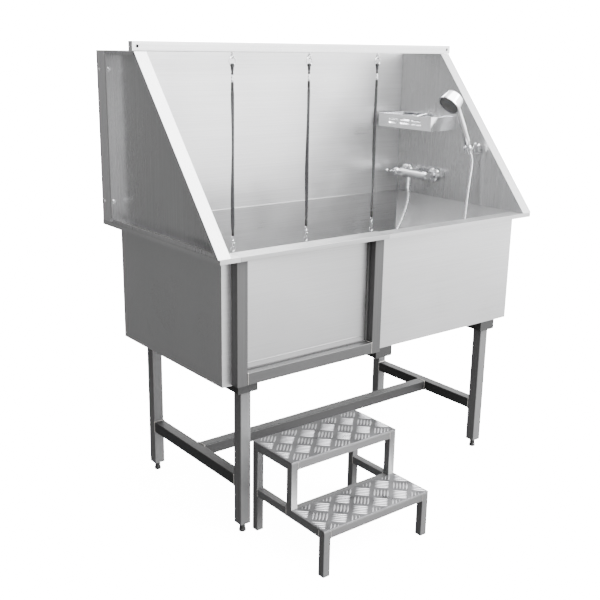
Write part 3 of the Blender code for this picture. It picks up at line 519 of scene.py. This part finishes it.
def make_strap(label, seed):
    """A webbing strap with sewn patches near both ends and a ferrule at each end."""
    body = f"leash_{label}"
    low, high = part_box(f"leash_strap_{label}")
    centre = (low + high) / 2
    top, bottom = Vector((centre.x, centre.y, high.z)), Vector((centre.x, centre.y, low.z))
    points = strap_line(bottom, top, seed)
    half_width = STRAP_WIDTH / 2

    def facing(share):
        twist = math.sin(4.2 * share + seed) * math.sin(math.pi * share) ** 0.5
        turn = STRAP_TWIST * twist + STRAP_TURN
        return Vector((math.cos(turn), math.sin(turn), 0.0))

    def size(share, index):
        taper = min(1.0, 0.55 + 6 * share, 0.55 + 6 * (1 - share))
        return half_width * taper * (0.90 + 0.10 * math.sin(9 * share + seed))

    band = sweep(points, size, 12, flat_to=facing, squash=STRAP_SQUASH)
    strap = add_piece(f"strap_{label}", band, WEBBING, None, 50.0)
    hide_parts(f"leash_strap_{label}")
    stitched = bmesh.new()
    patch = Vector((0.0042, 0.0021, 0.003))
    for start in (0.010, 0.030, 0.47, 0.49):
        middle = Vector((centre.x, centre.y, top.z - start - patch.z))
        slab(middle - patch, middle + patch, 0.0008, stitched)
    ferrule = [(0, FERRULE_REACH), (0.0040, FERRULE_REACH), (0.0047, 0.009),
               (0.0047, -0.009), (0.0040, -FERRULE_REACH), (0, -FERRULE_REACH)]
    for z in (top.z - FERRULE_REACH, bottom.z + FERRULE_REACH):
        lathe(ferrule, (centre.x, centre.y, z), UP, 16, stitched)
    sleeve = add_piece(f"strap_sleeves_{label}", stitched, RUBBER, body)
    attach(strap, body)


RING_WIRE_RADIUS = 0.0016
KNOT_RADIUS = 0.0045


def make_loop(label):
    """The webbing loop round the split ring, its stitched waist, ball and swivel."""
    body = f"leash_{label}"
    low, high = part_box(f"leash_loop_{label}")
    centre = (low + high) / 2
    wire_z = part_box(f"leash_ring_{label}")[0].z + RING_WIRE_RADIUS
    bm = bmesh.new()
    path = []
    for step in range(20):
        turn = math.tau * step / 20
        path.append(Vector((centre.x, centre.y + 0.0043 * math.sin(turn),
                            wire_z - 0.0010 + 0.0053 * math.cos(turn))))
    sweep(path, 0.0058, 10, True, 0.17, (1, 0, 0), bm)
    waist = wire_z - 0.0066
    sweep([(centre.x, centre.y, waist - 0.018 * step / 8) for step in range(9)],
          lambda share, index: 0.0056 - 0.0022 * share, 14, False, 0.72, (1, 0, 0), bm)
    angles = [math.tau * step / 16 for step in range(16)]
    for offset in (0.003, 0.0065, 0.010):
        thread = [(centre.x + 0.0052 * math.cos(angle), centre.y + 0.0042 * math.sin(angle),
                   waist - offset) for angle in angles]
        sweep(thread, 0.0009, 6, True, 1.0, None, bm)
    loop = add_piece(f"loop_{label}", bm, WEBBING, body, 50.0)
    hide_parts(f"leash_loop_{label}")
    arc = [math.pi * step / 10 for step in range(11)]
    knot = lathe([(KNOT_RADIUS * math.sin(angle), KNOT_RADIUS * math.cos(angle)) for angle in arc],
                 (centre.x, centre.y, waist - 0.0205), UP, 16)
    add_piece(f"knot_{label}", knot, WEBBING, body, 60.0)
    top = waist - 0.0245
    swivel = lathe([(0, top), (0.0020, top), (0.0020, top - 0.003), (0.0042, top - 0.004),
                    (0.0045, top - 0.009), (0.0032, top - 0.0105), (0.0018, top - 0.011),
                    (0.0018, top - 0.014), (0.0042, top - 0.015), (0.0045, low.z + 0.004),
                    (0.0036, low.z + 0.0002), (0, low.z + 0.0002)],
                   (centre.x, centre.y, 0.0), UP, 18)
    add_piece(f"swivel_{label}", swivel, CHROME, body)


EYE_RADIUS, EYE_WIRE = 0.0052, 0.0013
HOOK_RADIUS, HOOK_SWEEP = 0.0082, 318         # the hook's bend, in metres and degrees


def make_hook(label):
    """A bolt snap: swivel eye, barrel, curved hook, sliding bolt and thumb stud."""
    body = f"leash_hook_{label}"
    low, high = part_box(f"leash_hook_{label}")
    x, y = (low.x + high.x) / 2, (low.y + high.y) / 2
    top, bottom = high.z, low.z
    bm = bmesh.new()
    ring = [Vector((x + EYE_RADIUS * math.cos(turn), y, top - 0.0066 + EYE_RADIUS * math.sin(turn)))
            for turn in (math.tau * step / 22 for step in range(22))]
    sweep(ring, EYE_WIRE, 8, True, 1.0, None, bm)
    lathe([(0, top - 0.0125), (0.0026, top - 0.0125), (0.0040, top - 0.0150), (0.0043, top - 0.0165),
           (0.0040, top - 0.0180), (0.0028, top - 0.0190), (0.0026, top - 0.0205), (0, top - 0.0205)],
          (x, y, 0), UP, 18, bm)
    hook = []
    for step in range(25):
        share = step / 24
        turn = math.radians(90 - HOOK_SWEEP * share)
        hook.append(Vector((x + HOOK_RADIUS * math.cos(turn), y,
                            bottom + 0.0102 + HOOK_RADIUS * math.sin(turn))))
    hook = [Vector((x, y, top - 0.0200)), Vector((x, y, top - 0.0285))] + hook
    sweep(hook, lambda share, index: 0.0026 if index < 2 else 0.0021 - 0.0005 * share, 10, False,
          1.0, None, bm)
    metal = add_piece(f"snap_{label}", bm, NICKEL, body, 45.0)
    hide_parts(f"leash_hook_{label}")
    stud = lathe([(0, 0.0062), (0.0021, 0.0060), (0.0024, 0.0048), (0.0014, 0.0040),
                  (0.0014, 0.0), (0, 0.0)],
                 (x + 0.0018, y, top - 0.0255), (1, 0, 0.1), 14)
    slab((x + 0.0018, y - 0.0013, bottom + 0.0150), (x + 0.0044, y + 0.0013, top - 0.0235), 0.0005, stud)
    add_piece(f"snap_bolt_{label}", stud, CHROME, body)


for label, seed in zip(LABELS, (0.4, 2.1, 3.7)):
    make_strap(label, seed)
    make_loop(label)
    make_hook(label)
    dress(f"leash_eye_{label}", CHROME)
    dress(f"leash_ring_{label}", CHROME)


# ---------------------------------------------------------------- sheet metal and tubes

def finish_sheets():
    rounded("basin", BASIN_SHEET, width=0.0005)
    rounded("back_splash", SHEET_X, width=0.0005)
    rounded("side_splash_left", LEFT_SHEET, width=0.0005)
    rounded("side_splash_right", RIGHT_SHEET, width=0.0005)
    rounded("door_panel", DOOR_SHEET, "door", 0.0005)
    rounded("soap_basket", CHROME, width=0.0006)


TUBE_EDGE = 0.06                              # a tube's shorter edges stay sharp: its ends and cuts


def finish_tubes():
    rounded("top_rail", RAIL_STEEL, width=0.0025, segments=3, shortest=TUBE_EDGE)
    for name in ("door_post_left", "door_post_middle"):
        rounded(name, POST_TUBE, width=0.0020, segments=3, shortest=TUBE_EDGE)
    rounded("door_sill_rail", SILL_TUBE, width=0.0025, segments=3, shortest=TUBE_EDGE)
    rounded("long_brace", BRACE_TUBE, width=0.0030, segments=3, shortest=TUBE_EDGE)
    for side in ("left", "right"):
        rounded(f"end_brace_{side}", END_TUBE, width=0.0030, segments=3, shortest=TUBE_EDGE)
        for end in ("front", "back"):
            rounded(f"leg_{end}_{side}", LEG_TUBE, width=0.0030, segments=3, shortest=TUBE_EDGE)
            dress(f"foot_{end}_{side}", PLASTIC)
    for place in LABELS:
        rounded(f"cross_rail_{place}", END_TUBE, width=0.0025, segments=3, shortest=0.09)
    rounded("steps_frame", STEP_TUBE, "steps", 0.0018, 3, 0.03)
    rounded("door_seal", SEAL_RUBBER, width=0.0006, segments=2)


def dress_fittings():
    for node in ("mixer_body", "mixer_cap", "mixer_lever", "mixer_union_front", "mixer_union_back",
                 "hose_nut", "hand_shower", "hand_shower_nut", "shower_bracket", "drain_flange",
                 "drain_strainer"):
        dress(node, CHROME)
    for side in ("left", "right"):
        dress(f"rail_bolt_{side}", NICKEL)
    dress("spray_face", SPRAY_PLASTIC)
    dress("drain_tailpiece", PLASTIC)


finish_sheets()
finish_tubes()
dress_fittings()


# ---------------------------------------------------------------- checker plate

GROUP_PITCH = 0.058
GROUPS_EACH_WAY = 5
BARS_PER_GROUP = 5
BAR_PITCH, BAR_LENGTH, BAR_WIDTH, BAR_HEIGHT = 0.0102, 0.045, 0.0056, 0.0014
BAR_OUTLINE = 7                               # corners along each side of a bar
PLATE_MARGIN = 0.003
SHORTEST_BAR = 0.008


def clip_bar(centre, along, low, high):
    """The stretch of a bar that lies on the plate, as distances from its centre; None if too short."""
    start, end = -BAR_LENGTH / 2, BAR_LENGTH / 2
    for axis in (0, 1):
        for limit, sign in ((low[axis] + PLATE_MARGIN, 1), (high[axis] - PLATE_MARGIN, -1)):
            reach = (limit - centre[axis]) / along[axis]
            if along[axis] * sign > 0:
                start = max(start, reach)
            else:
                end = min(end, reach)
    return (start, end) if end - start > SHORTEST_BAR else None


def add_bar(bm, centre, along, stretch, z):
    """One low lens-shaped bar with a domed top."""
    across = Vector((-along.y, along.x))
    middle, half = (stretch[0] + stretch[1]) / 2, (stretch[1] - stretch[0]) / 2
    width = BAR_WIDTH * min(1.0, (2 * half / BAR_LENGTH) ** 0.5) / 2
    rings = []
    for share, level in ((1.0, -0.0001), (0.86, BAR_HEIGHT * 0.6), (0.55, BAR_HEIGHT)):
        ring = []
        for side in (1, -1):
            for step in range(BAR_OUTLINE):
                t = side * (1 - 2 * step / BAR_OUTLINE)
                at = centre + along * (middle + half * (0.55 + 0.45 * share) * t) \
                    + across * side * width * share * math.cos(math.pi / 2 * t) ** 0.7
                ring.append(bm.verts.new((at.x, at.y, z + level)))
        rings.append(ring)
    count = len(rings[0])
    for foot, top in zip(rings, rings[1:]):
        for index in range(count):
            after = (index + 1) % count
            bm.faces.new((foot[after], foot[index], top[index], top[after]))
    bm.faces.new(list(reversed(rings[-1])))


def make_lugs(node, name):
    """Five-bar checker plate at 45 degrees to the tread; every group is turned against the next."""
    low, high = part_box(node)
    middle = (low + high) / 2
    bm = bmesh.new()
    ways = (Vector((1, 1)).normalized(), Vector((-1, 1)).normalized())
    groups = range(-GROUPS_EACH_WAY, GROUPS_EACH_WAY + 1)
    for column in groups:
        for row in groups:
            along = ways[(column + row) % 2]
            across = Vector((-along.y, along.x))
            group = Vector((middle.x, middle.y)) + (ways[0] * column + ways[1] * row) * GROUP_PITCH
            for bar in range(BARS_PER_GROUP):
                centre = group + across * (bar - BARS_PER_GROUP // 2) * BAR_PITCH
                stretch = clip_bar(centre, along, low, high)
                if stretch:
                    add_bar(bm, centre, along, stretch, high.z)
    add_piece(name, bm, LUG_METAL, "steps", 50.0)


for node, name in (("tread_lower", "lugs_lower"), ("tread_upper", "lugs_upper")):
    rounded(node, TREAD, "steps", 0.0006)
    make_lugs(node, name)


# ---------------------------------------------------------------- welds

FRAME_BEAD, SILL_BEAD, STEP_BEAD = 0.0015, 0.0013, 0.0012      # radii
BEAD_STEP, BEAD_RIPPLE = 0.0012, 0.16
BEAD_INSET = 0.0006
STEP_TUBE_WIDTH = 0.025


def weld(bm, points, radius):
    """A ripple bead along a line."""
    points = [Vector(point) for point in points]
    fine = []
    for first, second in zip(points, points[1:]):
        steps = max(3, int((second - first).length / BEAD_STEP))
        fine += [first.lerp(second, step / steps) for step in range(steps)]
    fine.append(points[-1])
    sweep(fine, lambda share, index: radius * (1.0 + BEAD_RIPPLE * math.sin(index * 1.55)), 7, bm=bm)


def face_ring(low, high, axis, at):
    """The rectangle where a tube's end meets a face, at a height along an axis."""
    others = [index for index in range(3) if index != axis]
    corners = []
    for first, second in ((0, 0), (1, 0), (1, 1), (0, 1), (0, 0)):
        point = [0.0, 0.0, 0.0]
        point[axis] = at
        point[others[0]] = (low, high)[first][others[0]]
        point[others[1]] = (low, high)[second][others[1]]
        corners.append(point)
    return corners


def make_welds():
    """Beads where the frame's tubes meet, round the sill's ends and in the steps' corners."""
    bm = bmesh.new()
    for side in ("left", "right"):
        low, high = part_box(f"end_brace_{side}")
        for at in (low.y + BEAD_INSET, high.y - BEAD_INSET):
            weld(bm, face_ring(low, high, 1, at), FRAME_BEAD)
    low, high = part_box("long_brace")
    for at in (low.x + BEAD_INSET, high.x - BEAD_INSET):
        weld(bm, face_ring(low, high, 0, at), FRAME_BEAD)
    for side in ("left", "right"):
        for end in ("front", "back"):
            low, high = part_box(f"leg_{end}_{side}")
            weld(bm, face_ring(low, high, 2, high.z - BEAD_INSET), FRAME_BEAD)
    low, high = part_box("door_sill_rail")
    for at in (low.x + 0.0005, high.x - 0.0005):
        weld(bm, [(at, low.y, low.z + 0.002), (at, low.y, high.z), (at, high.y, high.z)], SILL_BEAD)
    add_piece("frame_welds", bm, WELD, "tub", 60.0)
    low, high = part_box("steps_frame")
    tube, middle = STEP_TUBE_WIDTH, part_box("tread_upper")[0].y
    lower_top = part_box("tread_lower")[0].z - 0.0003
    bm = bmesh.new()
    for x in (low.x, high.x - tube):
        for near in (low.y, middle, high.y - tube):
            inner = near + tube if near < high.y - tube else near
            weld(bm, [(x, inner, lower_top), (x, inner, lower_top - tube)], STEP_BEAD)
    for x in (low.x + tube, high.x - tube):
        for y, z in ((low.y, lower_top), (middle, lower_top), (middle, high.z)):
            weld(bm, [(x, y, z - 0.002), (x, y, z - tube), (x, y + tube * 0.5, z - tube)], STEP_BEAD)
    add_piece("steps_welds", bm, WELD, "steps", 60.0)


make_welds()


# ---------------------------------------------------------------- small fittings

HEAD_RADIUS, HEAD_HEIGHT = 0.0055, 0.0026
WASHER_THICKNESS = 0.0010
SCREW_X, SCREW_HEIGHTS = 0.656, (0.984, 1.407)
SCREW_STANDOFF = 0.0018


def screw_head(bm, at, axis):
    """A button head with a round socket."""
    radius, height = HEAD_RADIUS, HEAD_HEIGHT
    profile = [(0, height * 0.35), (radius * 0.42, height * 0.35), (radius * 0.45, height),
               (radius * 0.72, height * 0.93), (radius * 0.93, height * 0.55), (radius, 0.0), (0, 0.0)]
    lathe(profile, at, axis, 18, bm)


def make_screws():
    """Screws that hold the side splashes to the back splash, and their washers."""
    bm = bmesh.new()
    back_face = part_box("back_splash")[0].y
    forwards = (0, -1, 0)
    washer = [(0, WASHER_THICKNESS), (0.0072, WASHER_THICKNESS), (0.0078, 0.0005),
              (0.0078, 0.0), (0, 0.0)]
    for side in (-1, 1):
        for height in SCREW_HEIGHTS:
            at = (side * SCREW_X, back_face - SCREW_STANDOFF, height)
            lathe(washer, at, forwards, 20, bm)
            screw_head(bm, (at[0], at[1] - WASHER_THICKNESS, at[2]), forwards)
    add_piece("splash_screws", bm, CHROME)


DOOR_FACE_Y = SHIFT_Y - 0.3035
CREASE_FOOT, CREASE_TOP, CREASE_INSET = 0.5735, 0.5765, 0.050


def make_door_details():
    """The stiffening crease near the foot of the door skin."""
    low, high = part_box("door_panel")
    bm = slab((low.x + CREASE_INSET, DOOR_FACE_Y - 0.0010, CREASE_FOOT),
              (high.x - CREASE_INSET, DOOR_FACE_Y + 0.0006, CREASE_TOP), 0.0006)
    add_piece("door_crease", bm, DOOR_SHEET, "door")


SPRAY_AXIS = Vector((-0.73, 0.0, -0.683)).normalized()
SPRAY_HEAD_AT = Vector((0.4785, SHIFT_Y - 0.115, 1.3035))
SPRAY_FACE_REACH = 0.0209                     # from the head's centre to its face
NOZZLE_RINGS = ((0.006, 6), (0.013, 12), (0.020, 18), (0.027, 24), (0.033, 28))
NOZZLE = ((0, 0.0016), (0.0007, 0.0016), (0.0012, 0.0004), (0.0013, -0.0006), (0, -0.0006))


def make_spray_nozzles():
    """Rings of soft nozzles on the spray face."""
    centre = SPRAY_HEAD_AT + SPRAY_AXIS * SPRAY_FACE_REACH
    across = Vector((0, 1, 0))
    up = SPRAY_AXIS.cross(across)
    bm = bmesh.new()
    for radius, count in NOZZLE_RINGS:
        for index in range(count):
            turn = math.tau * (index + 0.5 * (count % 12 == 0)) / count
            at = centre + across * radius * math.cos(turn) + up * radius * math.sin(turn)
            lathe(NOZZLE, at, SPRAY_AXIS, 8, bm)
    add_piece("spray_nozzles", bm, RUBBER, "handset", 50.0)


RIB_COUNT, RIB_RING_RADIUS = 6, 0.0152
RIB_HALF_SIZE = Vector((0.0070, 0.0012, 0.0012))


def make_mixer_details():
    """Ribs round the coupling nuts."""
    bm = bmesh.new()
    for name in ("mixer_union_front", "mixer_union_back"):
        low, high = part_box(name)
        y, z = (low.y + high.y) / 2, (low.z + high.z) / 2
        for index in range(RIB_COUNT):
            turn = math.tau * (index + 0.5) / RIB_COUNT
            at = Vector((low.x + 0.008, y + RIB_RING_RADIUS * math.cos(turn),
                         z + RIB_RING_RADIUS * math.sin(turn)))
            slab(at - RIB_HALF_SIZE, at + RIB_HALF_SIZE, 0.0006, bm)
    add_piece("union_ribs", bm, CHROME)


FOOT_PLUG_INSET, FOOT_PLUG_HEIGHT = 0.0017, 0.010


def make_foot_plugs():
    """Plastic plugs in the feet of the steps' tubes."""
    low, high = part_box("steps_frame")
    bm = bmesh.new()
    tube, inset = STEP_TUBE_WIDTH, FOOT_PLUG_INSET
    for x in (low.x, high.x - tube):
        for y in (low.y, high.y - tube):
            slab((x + inset, y + inset, 0.0),
                 (x + tube - inset, y + tube - inset, FOOT_PLUG_HEIGHT), 0.0012, bm)
    add_piece("step_foot_plugs", bm, PLASTIC, "steps")


make_screws()
make_door_details()
make_spray_nozzles()
make_mixer_details()
make_foot_plugs()


# ---------------------------------------------------------------- studio

BACKDROP = 25.0
WORLD_LOW, WORLD_HIGH = 2.5, 7.0
DARK_SIDE, DARK_FLOOR = 0.17, 0.30
FLOOR_GLOW = 14.0
FLOOR_CORNERS = ((-3.2, -4.0, 0), (6.0, -5.0, 0), (6.0, 5.0, 0), (-1.6, 5.0, 0))
KEY_POWER, TOP_POWER = 300, 160


def area_light(name, location, target, size, power):
    data = bpy.data.lights.new(name, "AREA")
    data.shape = "RECTANGLE"
    data.size, data.size_y = size
    data.energy = power
    light = bpy.data.objects.new(name, data)
    bpy.context.scene.collection.objects.link(light)
    light.location = location
    light.rotation_euler = (Vector(target) - Vector(location)).to_track_quat("-Z", "Y").to_euler()


def world_ramp(tree, place, direction, steps):
    """A smooth rise or fall of light over the cosine to a direction; steps are in RANGE_SOCKETS order."""
    dot = tree.nodes.new("ShaderNodeVectorMath")
    dot.operation = "DOT_PRODUCT"
    tree.links.new(place, dot.inputs[0])
    dot.inputs[1].default_value = Vector(direction).normalized()
    ramp = tree.nodes.new("ShaderNodeMapRange")
    ramp.interpolation_type = "SMOOTHSTEP"
    for name, number in zip(RANGE_SOCKETS, steps):
        ramp.inputs[name].default_value = number
    tree.links.new(dot.outputs["Value"], ramp.inputs["Value"])
    return ramp.outputs["Result"]


def times(tree, first, second):
    node = tree.nodes.new("ShaderNodeMath")
    node.operation = "MULTIPLY"
    tree.links.new(first, node.inputs[0])
    tree.links.new(second, node.inputs[1])
    return node.outputs[0]


def make_world():
    """White behind the object; for its reflections a bright front and top, a dark left and floor."""
    world = bpy.data.worlds.new("studio_world")
    bpy.context.scene.world = world
    world.use_nodes = True
    tree = world.node_tree
    place = tree.nodes.new("ShaderNodeTexCoord").outputs["Generated"]
    side = world_ramp(tree, place, (-0.86, 0.50, -0.10), (-0.10, 0.62, 1.0, DARK_SIDE))
    height = world_ramp(tree, place, (0.0, 0.0, 1.0), (-0.75, 0.25, DARK_FLOOR, 1.0))
    glow = world_ramp(tree, place, (0.55, -0.40, 0.75), (0.25, 0.90, WORLD_LOW, WORLD_HIGH))
    lit = times(tree, times(tree, side, height), glow)
    path = tree.nodes.new("ShaderNodeLightPath")
    seen = tree.nodes.new("ShaderNodeMix")
    tree.links.new(path.outputs["Is Camera Ray"], seen.inputs["Factor"])
    tree.links.new(lit, seen.inputs[NUMBER_A])
    seen.inputs[NUMBER_B].default_value = BACKDROP
    background = tree.nodes["Background"]
    background.inputs["Color"].default_value = (1, 1, 1, 1)
    tree.links.new(seen.outputs[NUMBER_RESULT], background.inputs["Strength"])


def make_studio():
    """A glowing floor that only the camera sees, two soft lights and the surroundings."""
    look = Look("studio_floor", (0.9, 0.9, 0.9), 0.0, 0.8)
    look.set("Emission Color", (1, 1, 1, 1))
    look.set("Emission Strength", FLOOR_GLOW)
    bm = bmesh.new()
    bm.faces.new([bm.verts.new(corner) for corner in FLOOR_CORNERS])
    floor = add_piece("studio_floor", bm, look.material, None)
    floor.location.z = -0.0005
    floor.visible_glossy = floor.visible_diffuse = False
    area_light("key", (1.6, -3.6, 3.4), (0.1, 0, 0.7), (2.6, 2.2), KEY_POWER)
    area_light("top", (0.2, -0.9, 3.8), (0.0, 0.1, 0.6), (3.2, 2.4), TOP_POWER)
    make_world()


make_studio()
